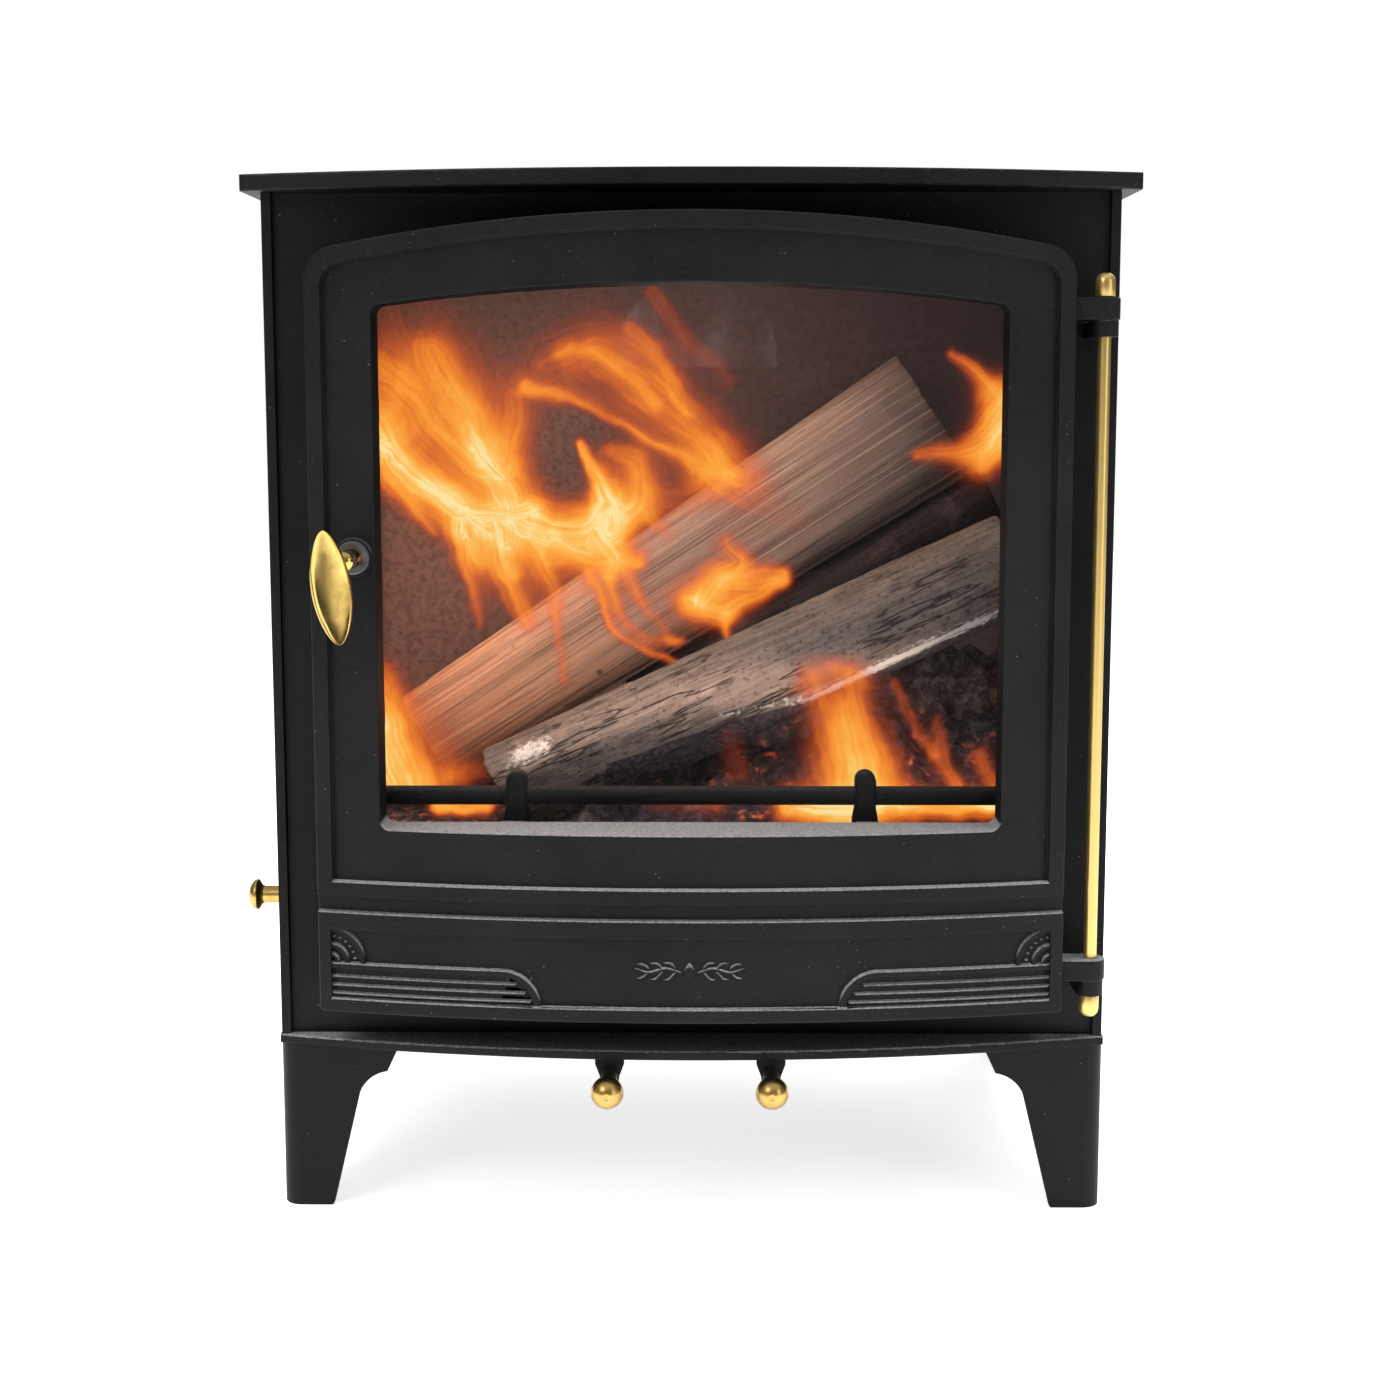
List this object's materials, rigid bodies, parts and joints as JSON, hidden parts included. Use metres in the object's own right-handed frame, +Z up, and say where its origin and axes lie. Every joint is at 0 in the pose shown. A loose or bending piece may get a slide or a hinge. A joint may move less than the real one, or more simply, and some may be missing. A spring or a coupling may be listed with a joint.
{
  "type": "wood burning stove",
  "caption": "Free-standing wood burning stove: bowed door with a tall window, rear flue collar, log fire, brass lever handle and air knobs, on folded legs.",
  "frame": {"origin": "on the hearth, under the centre of the body, at the level of the four feet", "axes": "+X to the right seen from the front, +Y to the back along the flue collar, +Z up"},
  "size_m": [0.5574, 0.4955, 0.645],
  "materials": {
    "stove_paint": "matt black heat-proof paint with a fine grain",
    "stove_casting": "fine sand-cast surface in matt black heat-proof paint",
    "inner_steel": "smoked dark steel",
    "zinc_fastener": "dull zinc plate",
    "bright_steel": "turned steel",
    "fire_brick": "pale sooted vermiculite; stands in for mineral brick",
    "grate_casting": "bare sooted casting",
    "brass": "polished brass",
    "aged_brass": "streaky aged brass",
    "charred_wood": "charred wood with grey ash",
    "split_wood": "raw split timber",
    "stove_glass": "clear heat-proof pane",
    "seal_rope": "braided glass-fibre rope"
  },
  "bodies": {
    "root": {"top_plate": "stove_paint", "base_plate": "stove_paint", "left_side_panel": "stove_paint", "right_side_panel": "stove_paint", "back_panel": "stove_paint", "front_frame": "stove_paint", "firebox_floor": "inner_steel", "leg_bolts": "zinc_fastener", "flue_collar": "stove_casting", "flue_collar_bolts": "zinc_fastener", "flue_blanking_plate": "stove_casting", "blanking_clamp_bar": "inner_steel", "blanking_bolt": "zinc_fastener", "left_fire_brick": "fire_brick", "right_fire_brick": "fire_brick", "rear_fire_brick": "fire_brick", "left_brick_retainer": "inner_steel", "right_brick_retainer": "inner_steel", "baffle_plate": "inner_steel", "baffle_supports": "inner_steel", "airwash_deflector": "inner_steel", "grate_frame": "grate_casting", "grate_supports": "inner_steel", "log_guard_bar": "grate_casting", "log_guard_posts": "grate_casting", "log_charred": "charred_wood", "log_split": "split_wood", "log_dark": "charred_wood", "latch_keeper": "inner_steel", "hinge_rod": "aged_brass", "upper_hinge_bracket": "stove_paint", "lower_hinge_bracket": "stove_paint", "upper_hinge_cap": "brass", "lower_hinge_cap": "brass", "primary_air_guide": "inner_steel", "secondary_air_guide": "inner_steel", "front_left_leg": "stove_paint", "front_right_leg": "stove_paint", "rear_left_leg": "stove_paint", "rear_right_leg": "stove_paint"},
    "door": {"door_frame": "stove_casting", "door_glass": "stove_glass", "glass_gasket": "seal_rope", "glass_clips": "inner_steel", "glass_clip_screws": "zinc_fastener", "door_rope_seal": "seal_rope", "handle_boss": "bright_steel"},
    "latch": {"door_handle": "brass", "handle_spindle": "bright_steel", "latch_cam": "bright_steel", "latch_nut": "zinc_fastener"},
    "riddler": {"riddling_grate": "grate_casting", "riddling_rod": "brass", "riddling_knob": "brass"},
    "primary_air": {"primary_air_slider": "inner_steel", "primary_air_knob": "brass"},
    "secondary_air": {"secondary_air_slider": "inner_steel", "secondary_air_knob": "brass"},
    "ash_drawer": {"ash_pan": "inner_steel", "ash_pan_handle": "inner_steel"}
  },
  "joints": [
    {"name": "door_hinge", "type": "hinge", "parent": "root", "child": "door", "pos_m": [0.246, -0.2, 0.36], "axis": [0, 0, 1], "range_deg": [0, 110]},
    {"name": "latch_turn", "type": "hinge", "parent": "door", "child": "latch", "pos_m": [-0.2, -0.225, 0.418], "axis": [0, 1, 0], "range_deg": [0, 90]},
    {"name": "riddling_slide", "type": "slide", "parent": "root", "child": "riddler", "axis": [-1, 0, 0], "range_m": [0, 0.02]},
    {"name": "primary_air_slide", "type": "slide", "parent": "root", "child": "primary_air", "axis": [0, -1, 0], "range_m": [0, 0.025]},
    {"name": "secondary_air_slide", "type": "slide", "parent": "root", "child": "secondary_air", "axis": [0, -1, 0], "range_m": [0, 0.025]},
    {"name": "ash_pan_slide", "type": "slide", "parent": "root", "child": "ash_drawer", "axis": [0, -1, 0], "range_m": [0, 0.018]}
  ]
}
